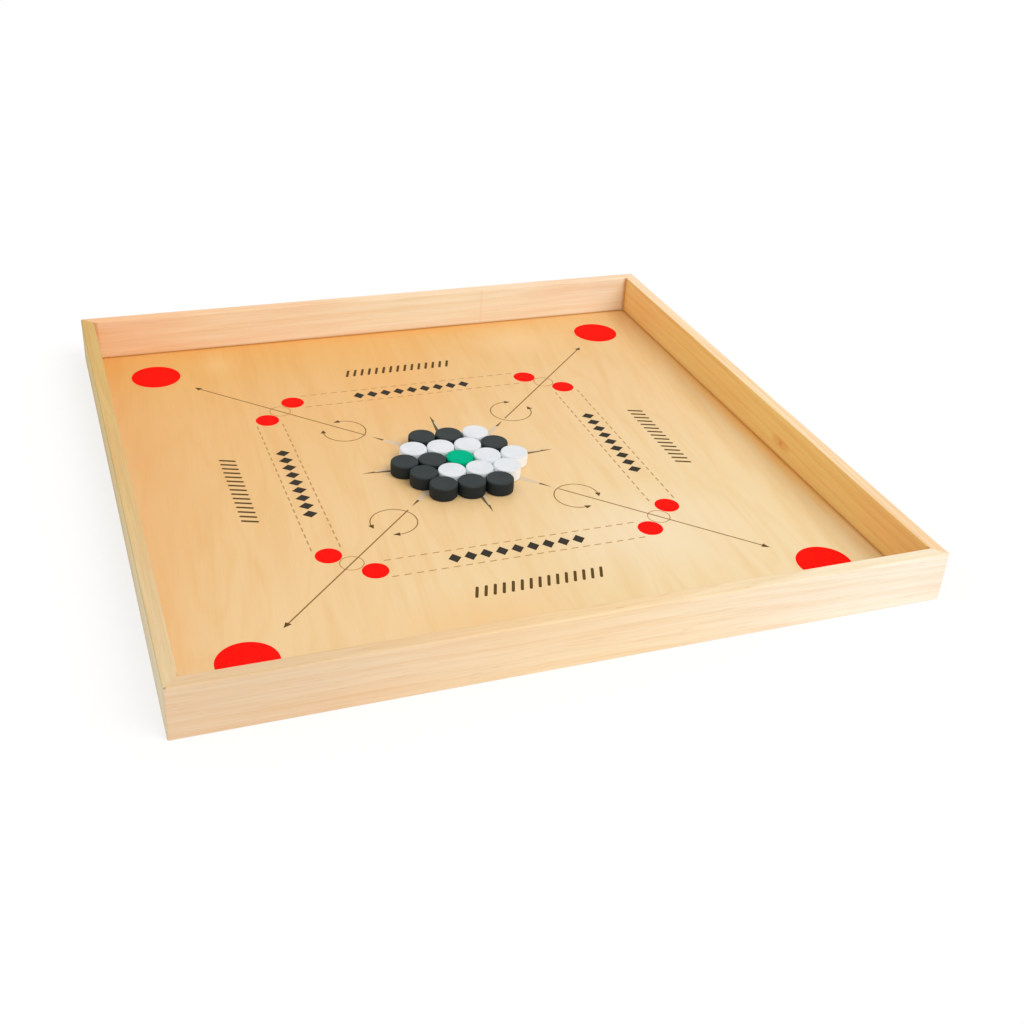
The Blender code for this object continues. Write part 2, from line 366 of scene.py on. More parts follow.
# the crease tint is painted shade for the rails' inner corners and foot; the other tints are grain
railTints = {
    "patch": (0.99, 0.93, 0.90, 1.0), "streak": (0.97, 0.88, 0.76, 1.0), "late": (0.90, 0.77, 0.61, 1.0),
    "fibre": (0.93, 0.90, 0.85, 1.0), "fleck": (0.62, 0.46, 0.32, 1.0), "creaseShade": (0.76, 0.58, 0.35, 1.0),
}
# cornerCrease, footCrease and creaseShare set the reach and strength of the painted shade in the inner
# corners and along the foot
railFinish = {
    "toneReach": [(-0.28, 0.02), (-0.02, 0.28)], "toneWander": 0.12, "outerFade": (1.2, 0.4),
    "faceFade": (1.0, 0.3), "cornerCrease": 5.0, "footCrease": (3.0, 0.2), "creaseShare": 0.85,
    "patchReach": (0.42, 0.66), "streakReach": (0.44, 0.72), "fibreReach": (0.36, 0.72), "fibreShare": 0.8,
    "roughness": (0.46, 0.60), "bump": (0.22, 0.0002),
}
nailFill = {
    "fromMiddle": 294.0, "height": 21.5, "halfPitch": 8.0, "radius": 1.5, "depth": 0.8, "core": 0.8,
    "share": 0.8, "colour": paint(214, 170, 116),
}
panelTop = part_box("playing_panel")[1].z


def railPoints(side, shape, halfBoard, height, thickness):
    # A section point with inset o from the outer face runs along y = -(halfBoard - o) to the mitre. Near the
    # corner it follows the arc of radius rc = cornerRadius - o, where x = halfBoard - o - rc + rc sin p and
    # y = -(halfBoard - o - rc) - rc cos p. d is the way walked from the middle of the rail, with the end
    # stations counted back from the mitre.
    shoulder = panelTop + shape["shoulderLift"] * mm
    rebate = thickness - shape["rebateWidth"] * mm
    corners = np.array([[0, 0], [0, height], [thickness, height], [thickness, shoulder],
                        [rebate, shoulder], [rebate, 0]])
    top, foot = shape["topRadius"] * mm, shape["footRadius"] * mm
    radii = np.array([foot, top, top, foot, shape["rebateRadius"] * mm, foot])
    sanded = np.array([True, True, True, True, False, False])  # not the two corners of the rebate
    base, byRadius, bySupport = roundedSection(corners, shape["roundingSteps"], shape["support"] * mm)

    ends = np.array(shape["endStations"])[:, None] * mm
    middle = np.linspace(-1, 1, shape["stations"])[1:-1]
    along = np.concatenate([-np.ones(len(ends)), middle, np.ones(len(ends))])
    phase = shape["sandingPhase"] * side
    (slow, slowRate), (quick, quickRate) = shape["sandingWaves"]
    waves = slow * np.sin(slowRate * along + phase) + quick * np.sin(quickRate * along + 2 * phase)
    r = radii[None, :] * np.where(sanded, 1 + shape["handSanding"] * waves[:, None], 1.0)
    section = base[None] + r[:, :, None, None] * byRadius[None] + shape["support"] * mm * bySupport[None]
    section = section.reshape(len(along), -1, 2)
    o, z = section[..., 0], section[..., 1]

    rc = np.maximum(shape["cornerRadius"] * mm - o, 0.0)
    straight = halfBoard - o - rc
    length = straight + rc * np.pi / 4 - shape["mitreGap"] * mm / 2
    count = len(ends)
    d = np.concatenate([ends[::-1] - length[:count], middle[:, None] * (length[count:-count] - ends[0]),
                        length[-count:] - ends])
    p = np.where(rc > 0, np.maximum(np.abs(d) - straight, 0.0) / np.maximum(rc, 1e-9), 0.0)
    x = np.sign(d) * (np.minimum(np.abs(d), straight) + rc * np.sin(p))
    y = -straight - rc * np.cos(p)
    return x, y, z, d, o


def railSize(name):
    # half the board's width, the rail's thickness and its height
    low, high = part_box(name)
    return max(high.x, high.y, -low.x, -low.y), min(high.x - low.x, high.y - low.y), high.z


def makeRail(name, side, material):
    halfBoard, thickness, height = railSize(name)
    x, y, z, d, o = railPoints(side, railShape, halfBoard, height, thickness)
    for _ in range(side):
        x, y = -y, x
    rows, columns = x.shape
    faces = gridQuads(rows, columns).tolist()
    faces += [list(range(columns)), list(range((rows - 1) * columns, rows * columns))]
    points = np.stack([x, y, z], axis=-1)
    rail = newPiece(name + "_pine", points, faces, material, "tray", [name])
    place = rail.data.attributes.new("woodPlace", "FLOAT_VECTOR", "POINT")
    place.data.foreach_set("vector", np.stack([d, o, z], axis=-1).ravel())


def makePineMaterial(name, look, finish):
    constants = {"IOR": 1.46, "Specular IOR Level": 0.30}
    material, tree, shader = newMaterial("pine_" + name.removeprefix("rail_"), constants)
    place = addNode(tree, "ShaderNodeAttribute", attribute_name="woodPlace").outputs["Vector"]
    values = {"Place": place, "Pith": look["pith"], "Ring Width": look["ringWidth"], "Tilt": look["tilt"],
              "Sway": look["sway"], "Seed": look["seed"]}
    grain = addNode(tree, "ShaderNodeGroup", values, node_tree=pineGrain).outputs
    parts = addNode(tree, "ShaderNodeSeparateXYZ", {0: place}).outputs
    wander = finish["toneWander"]
    along = worked(tree, "SUBTRACT", parts["X"], wander / 2)
    along = worked(tree, "MULTIPLY_ADD", grain["Patch"], wander, along)
    # three tones along the rail, paler towards the front right: partly wood tone, partly painted light
    (startTone, middleTone, endTone), (toMiddle, toEnd) = look["tones"], finish["toneReach"]
    colour = blended(tree, ramped(tree, along, *toMiddle), startTone, middleTone)
    colour = blended(tree, ramped(tree, along, *toEnd), colour, endTone)

    halfBoard, thickness, height = railSize(name)
    start, full = [depth * mm for depth in finish["faceFade"]]
    edges = {
        "outer": ramped(tree, parts["Y"], *[depth * mm for depth in finish["outerFade"]]),
        "inner": ramped(tree, parts["Y"], thickness - start, thickness - full),
        "top": ramped(tree, parts["Z"], height - start, height - full),
    }
    # painted shade: the inner corner and the line where the panel meets the rail are darkened where shade
    # falls there
    inside = halfBoard - thickness
    walked = worked(tree, "ABSOLUTE", parts["X"])
    corner = ramped(tree, walked, inside - finish["cornerCrease"] * mm, inside)
    foot = ramped(tree, parts["Z"], *[panelTop + rise * mm for rise in finish["footCrease"]])
    creaseShade = worked(tree, "MULTIPLY", edges["inner"], worked(tree, "MAXIMUM", corner, foot))

    streak = ramped(tree, grain["Streak"], *finish["streakReach"], 0.0, look["streakShare"])
    fibre = ramped(tree, grain["Fibre"], *finish["fibreReach"], 0.0, finish["fibreShare"])
    # face tints are painted light and shade and the crease tint is painted shade; patch, streak, late wood,
    # fibre and fleck are grain
    layers = [(edges[face], tint) for face, tint in look["faces"].items()] + [
        (worked(tree, "MULTIPLY", creaseShade, finish["creaseShare"]), railTints["creaseShade"]),
        (ramped(tree, grain["Patch"], *finish["patchReach"]), railTints["patch"]),
        (streak, railTints["streak"]),
        (worked(tree, "MULTIPLY", grain["Late Wood"], look["ringShare"]), railTints["late"]),
        (fibre, railTints["fibre"]),
        (worked(tree, "MULTIPLY", grain["Fleck"], look["fleckShare"]), railTints["fleck"]),
    ]
    for share, tint in layers:
        colour = blended(tree, share, colour, tint, "MULTIPLY")
    for middle, halfSize, spotColour, strength in look["spots"]:
        share = worked(tree, "MULTIPLY", spotShare(tree, place, middle, halfSize), strength)
        colour = blended(tree, share, colour, spotColour)
    if name.endswith(("left", "right")):
        # filled nail holes on the outer face, two near either end: |d| and |z - height| fold them into one
        lift = worked(tree, "ABSOLUTE", worked(tree, "SUBTRACT", parts["Z"], nailFill["height"] * mm))
        folded = addNode(tree, "ShaderNodeCombineXYZ", {0: walked, 1: parts["Y"], 2: lift}).outputs[0]
        hole = (nailFill["fromMiddle"], 0.0, nailFill["halfPitch"])
        holeSize = (nailFill["radius"], nailFill["depth"], nailFill["radius"])
        share = spotShare(tree, folded, hole, holeSize, nailFill["core"])
        colour = blended(tree, worked(tree, "MULTIPLY", share, nailFill["share"]), colour, nailFill["colour"])
    tree.links.new(colour, shader.inputs["Base Color"])
    roughness = ramped(tree, grain["Fibre"], *noiseReach, *finish["roughness"])
    tree.links.new(roughness, shader.inputs["Roughness"])
    addBump(tree, shader, grain["Height"], *finish["bump"])
    return material


for side, railName in enumerate(["rail_front", "rail_right", "rail_back", "rail_left"]):
    makeRail(railName, side, makePineMaterial(railName, railLook[railName], railFinish))
print("rails made")


# Playing panel

# A scale comes with its shift, and a figure has its reach, its greatest share and its tint
panelLook = {
    "deep": paint(230, 176, 101), "pale": paint(241, 219, 174), "across": (0.57, -0.82),
    "reach": (-0.38, 0.40), "wander": 0.20, "lean": math.radians(5.0), "roughness": (0.34, 0.46),
    "coat": 0.10, "bump": (0.12, 0.0001), "bend": 0.10, "contours": 9.0,
    "scales": {"bend": ((7.0, 1.6, 1.0), (3.1, 0.7, 0.0)), "tone": ((15.0, 2.4, 1.0), (0.4, 1.9, 0.0)),
               "figure": ((55.0, 5.0, 1.0), (5.0, 2.0, 0.0)), "fibre": ((900.0, 18.0, 1.0), (0.0, 0.0, 0.0))},
    "figures": {"flame": ((0.45, 0.70), 0.45, (0.97, 0.89, 0.76, 1.0)),
                "contour": ((0.30, 0.0), 0.40, (0.97, 0.90, 0.78, 1.0)),
                "streak": ((0.42, 0.72), 0.65, (0.96, 0.90, 0.80, 1.0)),
                "fibre": ((0.42, 0.75), 0.35, (0.95, 0.91, 0.85, 1.0))},
    # the spots along the back, right and left edges are painted warm light and shade that the rails throw
    # onto the panel; the others are patches of tone
    "spots": [((20.0, 290.0, 4.0), (250.0, 30.0, 9.0), paint(234, 168, 84), 0.60),
              ((-178.0, 250.0, 4.0), (34.0, 42.0, 9.0), paint(236, 192, 128), 0.60),
              ((-20.0, 165.0, 4.0), (85.0, 150.0, 9.0), paint(234, 174, 98), 0.62),
              ((140.0, 236.0, 4.0), (80.0, 50.0, 9.0), paint(240, 202, 148), 0.60),
              ((110.0, -150.0, 4.0), (130.0, 90.0, 9.0), paint(242, 224, 190), 0.55),
              ((-60.0, -235.0, 4.0), (120.0, 60.0, 9.0), paint(238, 194, 132), 0.65),
              ((288.0, -20.0, 4.0), (18.0, 330.0, 9.0), paint(252, 188, 84), 0.60),
              ((-290.0, -20.0, 4.0), (20.0, 340.0, 9.0), paint(232, 194, 138), 0.60)],
    # the crease is painted shade in a band along the foot of the rails
    "creaseShade": {"width": 4.0, "depth": (0.4, 0.1), "share": 0.85, "tint": (0.84, 0.68, 0.48, 1.0)},
}


def makePanelMaterial(look):
    # rotary cut birch: soft figure from front to back, a faint flame across it and fine fibres
    constants = {"IOR": 1.46, "Specular IOR Level": 0.35, "Coat Weight": look["coat"], "Coat Roughness": 0.25}
    material, tree, shader = newMaterial("birch_ply", constants)
    place = addNode(tree, "ShaderNodeTexCoord").outputs["Object"]
    grain = stretched(tree, place, (1.0, 1.0, 1.0), turn=(0.0, 0.0, look["lean"]))
    bend = noised(tree, stretched(tree, grain, *look["scales"]["bend"]), 2.0, 0.5, "Color")
    bent = moved(tree, "ADD", grain, moved(tree, "SCALE", bend, look["bend"]))
    tone = noised(tree, stretched(tree, bent, *look["scales"]["tone"]), 3.0, 0.55)
    figure = noised(tree, stretched(tree, bent, *look["scales"]["figure"]), 3.0, 0.6)
    fibre = noised(tree, stretched(tree, grain, *look["scales"]["fibre"]), 3.0, 0.6)
    contour = worked(tree, "PINGPONG", worked(tree, "MULTIPLY", tone, look["contours"]), 0.5)

    parts = addNode(tree, "ShaderNodeSeparateXYZ", {0: place}).outputs
    # painted light in part: deep at the back left to pale at the front right, towards the key lamp, over a
    # wandering wood tone
    rightwards, backwards = look["across"]
    across = worked(tree, "MULTIPLY", parts["X"], rightwards)
    across = worked(tree, "MULTIPLY_ADD", parts["Y"], backwards, across)
    across = worked(tree, "SUBTRACT", across, look["wander"] / 2)
    across = worked(tree, "MULTIPLY_ADD", tone, look["wander"], across)
    colour = blended(tree, ramped(tree, across, *look["reach"]), look["deep"], look["pale"])
    masks = {"flame": tone, "contour": contour, "streak": figure, "fibre": fibre}
    for label, (reach, most, tint) in look["figures"].items():
        colour = blended(tree, ramped(tree, masks[label], *reach, 0.0, most), colour, tint, "MULTIPLY")
    for middle, halfSize, spotColour, strength in look["spots"]:
        share = worked(tree, "MULTIPLY", spotShare(tree, place, middle, halfSize, 0.0), strength)
        colour = blended(tree, share, colour, spotColour)

    # painted shade: the panel darkens in a band where it meets the rails
    creaseShade = look["creaseShade"]
    outwards = worked(tree, "MAXIMUM", *[worked(tree, "ABSOLUTE", parts[axis]) for axis in "XY"])
    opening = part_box("rail_right")[0].x
    byRail = ramped(tree, outwards, opening - creaseShade["width"] * mm, opening, 0.0, creaseShade["share"])
    onTop = ramped(tree, parts["Z"], *[panelTop - depth * mm for depth in creaseShade["depth"]])
    colour = blended(tree, worked(tree, "MULTIPLY", byRail, onTop), colour, creaseShade["tint"], "MULTIPLY")
    tree.links.new(colour, shader.inputs["Base Color"])
    tree.links.new(ramped(tree, fibre, *noiseReach, *look["roughness"]), shader.inputs["Roughness"])
    addBump(tree, shader, fibre, *look["bump"])
    return material


panel = frame["nodes"]["playing_panel"]
panel.data.materials.clear()
panel.data.materials.append(makePanelMaterial(panelLook))
print("panel dressed")


# Printed marks, in mm from the middle of the print

inkLook = {
    "red": {"colour": paint(250, 10, 5), "wood": paint(242, 100, 56), "roughness": 0.60},
    "dark": {"colour": paint(56, 52, 45), "wood": paint(120, 92, 60), "roughness": 0.60},
    "brown": {"colour": paint(92, 70, 36), "wood": paint(150, 114, 66), "roughness": 0.60},
    "line": {"colour": paint(142, 108, 62), "wood": paint(184, 142, 88), "roughness": 0.60},
    "faint": {"colour": paint(186, 144, 90), "wood": paint(212, 166, 108), "roughness": 0.60},
    "pale": {"colour": paint(218, 196, 168), "wood": paint(226, 190, 148), "roughness": 0.60},
    "star": {"colour": paint(116, 90, 54), "wood": paint(168, 128, 78), "roughness": 0.60},
}
marks = {
    "print": {"turn": math.radians(0.33), "shift": (-2.0, -0.2)},
    "cornerSpot": {"place": 235.3, "radius": 23.3, "segments": 128},
    "sideSpot": {"along": 118.96, "out": 149.19, "radius": 10.8, "segments": 96},
    "ring": {"place": 134.1, "radius": 9.6, "width": 0.9, "segments": 96},
    "arrow": {"inner": 68.5, "tip": 203.0, "width": 1.25, "headLength": 6.6, "headWidth": 5.5,
              "underHead": 0.6},
    "arc": {"place": 82.3, "shift": (-3.0, -1.2), "radius": 19.7, "gap": 42.0, "stations": 73, "width": 1.0,
            "headTip": 27.0, "headLength": 6.0, "headWidth": 5.2},
    "dashes": {"out": [137.0, 160.6], "count": 22, "pitch": 10.1, "length": 5.8, "width": 1.2},
    "ticks": {"count": 15, "pitch": 7.45, "middle": 198.4, "length": 15.0, "slant": 5.2, "width": 2.5,
              "capPoints": 9},
    "diamonds": {"count": 9, "pitch": 13.4, "out": 148.8, "length": 13.0, "width": 11.0},
    "star": {"tip": 90.5, "notch": 20.8, "paleTo": 78.5},
}
inkHeights = {"deep": -0.04, "pale": 0.020, "faint": 0.030, "line": 0.040, "head": 0.050, "spot": 0.060}
inkEdge = [(0.0, 0.03), (0.03, 0.01), (0.1, 0.0)]  # how far in from a spot's rim, and how far below its top


def makeInk(name, look):
    material, tree, shader = newMaterial("ink_" + name, {"IOR": 1.46, "Specular IOR Level": 0.04})
    place = addNode(tree, "ShaderNodeTexCoord").outputs["Object"]
    cover = addNode(tree, "ShaderNodeGroup", {"Vector": place}, node_tree=printCover).outputs
    colour = blended(tree, cover["Cover"], look["wood"], look["colour"])
    tree.links.new(colour, shader.inputs["Base Color"])
    rough = ramped(tree, cover["Cover"], 0.7, 1.0, look["roughness"] + 0.1, look["roughness"])
    tree.links.new(rough, shader.inputs["Roughness"])
    addBump(tree, shader, cover["Height"], 0.1, 0.0001)
    return material


def inkLevels(height):
    return np.array([inkHeights["deep"], inkHeights[height]]) + panelTop / mm


def inkStrips(paths, width, height):
    # paths is (strips, stations, 2) in mm. With the unit tangent (tx, ty) and the normal n = (-ty, tx), each
    # station has the four corners path -/+ n w / 2, at the underside and at the top of the ink.
    tangents = np.gradient(paths, axis=1)
    tangents = tangents / np.linalg.norm(tangents, axis=-1, keepdims=True)
    normals = np.stack([-tangents[..., 1], tangents[..., 0]], axis=-1) * width / 2
    left, right = paths + normals, paths - normals
    under, over = [np.full(paths.shape[:2] + (1,), level) for level in inkLevels(height)]
    pairs = ((left, under), (right, under), (right, over), (left, over))
    corners = [np.concatenate(pair, axis=-1) for pair in pairs]
    strips, stations = paths.shape[:2]
    firstCap = np.arange(4)
    caps = np.stack([firstCap, firstCap + 4 * (stations - 1)])
    faces = np.concatenate([gridQuads(stations, 4), caps])
    return np.stack(corners, axis=2) * mm, repeated(faces, strips, 4 * stations).tolist()


def inkPlates(outlines, height):
    # outlines is (plates, corners, 2) in mm, each carried straight up from the ink's underside to its top
    plates, corners = outlines.shape[:2]
    flat = np.broadcast_to(outlines[:, None], (plates, 2, corners, 2))
    z = np.broadcast_to(inkLevels(height)[None, :, None, None], (plates, 2, corners, 1))
    caps = np.arange(2 * corners).reshape(2, corners)
    walls = gridQuads(2, corners)
    faces = [face for part in (walls, caps) for face in repeated(part, plates, 2 * corners).tolist()]
    return np.concatenate([flat, z], axis=-1) * mm, faces


def inkRings(centres, radius, width, segments, height):
    # a closed circle of ink: the corners of the section (r -/+ w / 2, z) turned round each centre
    a = np.linspace(0, 2 * np.pi, segments, endpoint=False)[None, :, None]
    r = radius + np.array([-0.5, 0.5, 0.5, -0.5]) * width
    z = np.broadcast_to(inkLevels(height)[[0, 0, 1, 1]], (len(centres), segments, 4))
    x = centres[:, 0][:, None, None] + r * np.cos(a)
    y = centres[:, 1][:, None, None] + r * np.sin(a)
    faces = repeated(gridQuads(segments, 4, joinRows=True), len(centres), segments * 4)
    return np.stack([x, y, z], axis=-1) * mm, faces.tolist()


def inkSpots(centres, radius, segments, height):
    # a round of ink: flat, with a soft edge where it was squeezed out
    deep, top = inkLevels(height)
    edge = [[radius - inwards, top - down] for inwards, down in inkEdge]
    profile = np.array([[0, deep], [radius, deep], *edge, [radius / 2, top], [0, top]])
    return turnedShells(profile * mm, centres * mm, segments)


def straightPaths(starts, ends):
    # paths of two stations, the start and the end
    return np.stack([starts, ends], axis=1)


def pointers(backs, tips, width):
    # a triangle from each tip back to a base of width w: back -/+ n w / 2, with n square to tip - back
    ahead = (tips - backs) / np.linalg.norm(tips - backs, axis=-1, keepdims=True)
    sideways = np.stack([-ahead[..., 1], ahead[..., 0]], axis=-1) * width / 2
    return np.stack([backs - sideways, tips, backs + sideways], axis=-2)


def evenly(count, pitch):
    # places a pitch apart, with 0 in the middle of the row
    return (np.arange(count) - (count - 1) / 2) * pitch


def printMark(name, shells, ink):
    # The shells become one piece, each one's faces counted on from the points before it. The whole print sits
    # turned by t and shifted by s on the panel: (x cos t - y sin t + sx, x sin t + y cos t + sy).
    points, faces, before = [], [], 0
    for shellPoints, shellFaces in shells:
        points.append(shellPoints.reshape(-1, 3))
        faces += [[corner + before for corner in face] for face in shellFaces]
        before += len(points[-1])
    x, y, z = np.concatenate(points).T
    turn, (shiftX, shiftY) = marks["print"]["turn"], marks["print"]["shift"]
    placed = np.stack([x * math.cos(turn) - y * math.sin(turn) + shiftX * mm,
                       x * math.sin(turn) + y * math.cos(turn) + shiftY * mm, z], axis=-1)
    newPiece("print_" + name, placed, faces, inks[ink], "tray", sharpAngle=50.0)


inks = {name: makeInk(name, look) for name, look in inkLook.items()}

towards = np.array([[1.0, 1.0]])  # a corner of the board

cornerSpot = marks["cornerSpot"]
cornerSpots = quarterTurns(towards * cornerSpot["place"])
cornerShells = inkSpots(cornerSpots, cornerSpot["radius"], cornerSpot["segments"], "spot")
printMark("corner_spots", [cornerShells], "red")

sideSpot = marks["sideSpot"]
pair = np.array([[sideSpot["along"], sideSpot["out"]], [sideSpot["out"], sideSpot["along"]]])
sideShells = inkSpots(quarterTurns(pair), sideSpot["radius"], sideSpot["segments"], "spot")
printMark("side_spots", [sideShells], "red")

ring = marks["ring"]
ringMiddles = quarterTurns(towards * ring["place"])
printMark("rings", [inkRings(ringMiddles, ring["radius"], ring["width"], ring["segments"], "faint")], "faint")

arrow = marks["arrow"]
headBack = arrow["tip"] - arrow["headLength"] / math.sqrt(2)
shaftEnd = headBack + arrow["underHead"]
shafts = straightPaths(quarterTurns(towards * arrow["inner"]), quarterTurns(towards * shaftEnd))
headBacks, headTips = quarterTurns(towards * headBack), quarterTurns(towards * arrow["tip"])
arrowHeads = pointers(headBacks, headTips, arrow["headWidth"])

arc = marks["arc"]
diagonal = 45.0
sweep = np.radians(np.linspace(diagonal + arc["gap"], diagonal + 360.0 - arc["gap"], arc["stations"]))
arcs = quarterTurns(arc["place"] + arc["radius"] * np.stack([np.cos(sweep), np.sin(sweep)], axis=-1)[None])
arcs += arc["shift"]  # printed a little off the shafts
tipTurn = np.radians(diagonal + np.array([1, -1]) * arc["headTip"])
backTurn = tipTurn + np.array([1, -1]) * arc["headLength"] / arc["radius"]
tips, backs = [arc["place"] + arc["radius"] * np.stack([np.cos(turn), np.sin(turn)], axis=-1)
               for turn in (tipTurn, backTurn)]
arcHeads = pointers(quarterTurns(backs), quarterTurns(tips), arc["headWidth"]) + arc["shift"]
printMark("arrow_shafts", [inkStrips(shafts, arrow["width"], "line")], "line")
printMark("arcs", [inkStrips(arcs, arc["width"], "faint")], "line")
printMark("arrow_heads", [inkPlates(arrowHeads, "head"), inkPlates(arcHeads, "head")], "brown")

dash = marks["dashes"]
starts = evenly(dash["count"], dash["pitch"]) - dash["length"] / 2
dashStarts = np.array([[x, out] for out in dash["out"] for x in starts])
dashPaths = straightPaths(quarterTurns(dashStarts), quarterTurns(dashStarts + [dash["length"], 0.0]))
printMark("dashed_lines", [inkStrips(dashPaths, dash["width"], "faint")], "faint")

# A tick is a bar with half round ends that leans by the angle of its slant
tick = marks["ticks"]
capTurn = np.linspace(0, np.pi, tick["capPoints"])
cap = tick["width"] / 2 * np.stack([np.cos(capTurn), np.sin(capTurn)], axis=-1)
cap += [0.0, (tick["length"] - tick["width"]) / 2]
lean = math.asin(tick["slant"] / tick["length"])
upright = np.array([[math.cos(lean), -math.sin(lean)], [math.sin(lean), math.cos(lean)]])
bar = np.concatenate([cap, -cap]) @ upright
tickPlaces = evenly(tick["count"], tick["pitch"])
tickMiddles = np.stack([tickPlaces, np.full_like(tickPlaces, tick["middle"])], axis=-1)
printMark("tick_scales", [inkPlates(quarterTurns(tickMiddles[:, None] + bar), "line")], "brown")

# Plain diamonds fill the space between the dashed lines
sight = marks["diamonds"]
sightPlaces = evenly(sight["count"], sight["pitch"])
sightMiddles = np.stack([sightPlaces, np.full_like(sightPlaces, sight["out"])], axis=-1)
wide, tall = sight["width"] / 2, sight["length"] / 2
diamond = np.array([[wide, 0], [0, tall], [-wide, 0], [0, -tall]])
printMark("diamond_rows", [inkPlates(quarterTurns(sightMiddles[:, None] + diamond), "line")], "dark")

# The star: every point is a kite from the middle over two notches to its tip. All are pale with dark tips,
# and the four upright ones have a dark half too.
star = marks["star"]
notchX, notchY = star["notch"] * math.cos(math.pi / 8), star["notch"] * math.sin(math.pi / 8)
paleTo = star["paleTo"]
tipSide = notchY * (star["tip"] - paleTo) / (star["tip"] - notchX)
kite = np.array([[0.0, 0.0], [notchX, -notchY], [paleTo, -tipSide], [paleTo, tipSide], [notchX, notchY]])
tip = np.array([[paleTo, -tipSide], [star["tip"], 0.0], [paleTo, tipSide]])
half = np.array([[0.0, 0.0], [notchX, -notchY], [paleTo, -tipSide], [paleTo, 0.0]])
mirrored = np.stack([half, half * [-1, 1]])
eighth = np.array([[1.0, 1.0], [-1.0, 1.0]]) / math.sqrt(2)
kites = quarterTurns(np.stack([kite, kite @ eighth]))
tips = quarterTurns(np.stack([tip, tip @ eighth]))
darkHalves = np.concatenate([mirrored, mirrored[..., ::-1]])
printMark("star_pale", [inkPlates(kites, "pale")], "pale")
printMark("star_dark", [inkPlates(darkHalves, "faint"), inkPlates(tips, "faint")], "star")
print("marks printed")


# Discs

discShape = {
    "edgeRadius": 1.3, "belly": 0.14, "dish": 0.08, "underside": 0.05, "segments": 96, "edgeSteps": 7,
    "wallStations": 9, "footShares": [0.0, 0.5, 0.96], "topShares": [0.97, 0.85, 0.65, 0.4, 0.2, 0.0],
}
# the wall colour is painted light and shade on the disc's side, set against the warm light that the panel
# bounces onto it
discLook = {
    "white": {"colour": paint(227, 229, 232), "shade": paint(219, 222, 226), "wall": paint(246, 251, 255),
              "roughness": 0.48, "specular": 0.25},
    "black": {"colour": paint(44, 51, 51), "shade": paint(50, 56, 56), "wall": paint(36, 43, 46),
              "roughness": 0.55, "specular": 0.16},
    "green": {"colour": paint(0, 180, 134), "shade": paint(0, 168, 122), "wall": paint(0, 168, 122),
              "roughness": 0.60, "specular": 0.02},
}
plasticFinish = {
    "cloudReach": (0.35, 0.7), "wallShadeFade": (0.4, 1.8), "scuffRoughness": 0.12, "bump": (0.15, 0.00006),
}


def discProfile(radius, foot, top, shape):
    # r = R - belly v^2 up the wall with v from -1 to 1, quarter arcs of the edge radius above and below it, a
    # flat underside, and a top that sinks by dish (1 - (r / rFlat)^2) towards the middle
    edge, belly = shape["edgeRadius"] * mm, shape["belly"] * mm
    flat = radius - belly - edge
    a = np.linspace(-np.pi / 2, 0, shape["edgeSteps"] + 1)
    low = np.stack([flat + edge * np.cos(a), foot + edge + edge * np.sin(a)], axis=-1)
    v = np.linspace(-1, 1, shape["wallStations"])[1:-1]
    wall = np.stack([radius - belly * v ** 2, (foot + top) / 2 + v * ((top - foot) / 2 - edge)], axis=-1)
    high = np.stack([low[::-1, 0], foot + top - low[::-1, 1]], axis=-1)
    share = np.array(shape["topShares"])
    head = np.stack([flat * share, top - shape["dish"] * mm * (1 - share ** 2)], axis=-1)
    start = np.array([[flat * share, foot] for share in shape["footShares"]])
    return np.concatenate([start, low, wall, high, head])


def makeDiscMaterial(name, look, finish):
    constants = {"IOR": 1.46, "Specular IOR Level": look["specular"]}
    material, tree, shader = newMaterial("plastic_" + name, constants)
    place = addNode(tree, "ShaderNodeTexCoord").outputs["Object"]
    plastic = addNode(tree, "ShaderNodeGroup", {"Vector": place}, node_tree=mouldedPlastic).outputs
    clouded = ramped(tree, plastic["Cloud"], *finish["cloudReach"])
    colour = blended(tree, clouded, look["colour"], look["shade"])
    height = addNode(tree, "ShaderNodeSeparateXYZ", {0: place}).outputs["Z"]
    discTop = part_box("disc_green")[1].z
    # painted light and shade: the side takes the wall colour, fading in below the top
    wallShadeShare = ramped(tree, height, *[discTop - depth * mm for depth in finish["wallShadeFade"]])
    tree.links.new(blended(tree, wallShadeShare, colour, look["wall"]), shader.inputs["Base Color"])
    rough = worked(tree, "MULTIPLY_ADD", plastic["Scuff"], finish["scuffRoughness"], look["roughness"])
    tree.links.new(rough, shader.inputs["Roughness"])
    addBump(tree, shader, plastic["Height"], *finish["bump"])
    return material


discMaterials = {name: makeDiscMaterial(name, look, plasticFinish) for name, look in discLook.items()}
for body, nodes in frame["record"]["behaviour"]["bodies"].items():
    if "disc" not in body:
        continue
    node, colourName = nodes[0], body.split("_")[0]
    low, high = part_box(node)
    middle = np.array([[(low.x + high.x) / 2, (low.y + high.y) / 2]])
    profile = discProfile((high.x - low.x) / 2, panelTop + discShape["underside"] * mm, high.z, discShape)
    points, faces = turnedShells(profile, middle, discShape["segments"])
    newPiece(node + "_turned", points, faces, discMaterials[colourName], body, [node])
print("discs made")


# Brads

bradSteel = {
    "colour": paint(168, 168, 170), "dull": paint(120, 118, 116), "scale": (900.0, 900.0, 900.0),
    "roughReach": (0.3, 0.7), "roughness": (0.28, 0.5),
}


def makeSteelMaterial(look):
    material, tree, shader = newMaterial("brad_steel_wire", {"Metallic": 1.0})
    place = addNode(tree, "ShaderNodeTexCoord").outputs["Object"]
    drawn = noised(tree, stretched(tree, place, look["scale"]), 3.0, 0.6)
    tree.links.new(blended(tree, drawn, look["colour"], look["dull"]), shader.inputs["Base Color"])
    rough = ramped(tree, drawn, *look["roughReach"], *look["roughness"])
    tree.links.new(rough, shader.inputs["Roughness"])
    return material


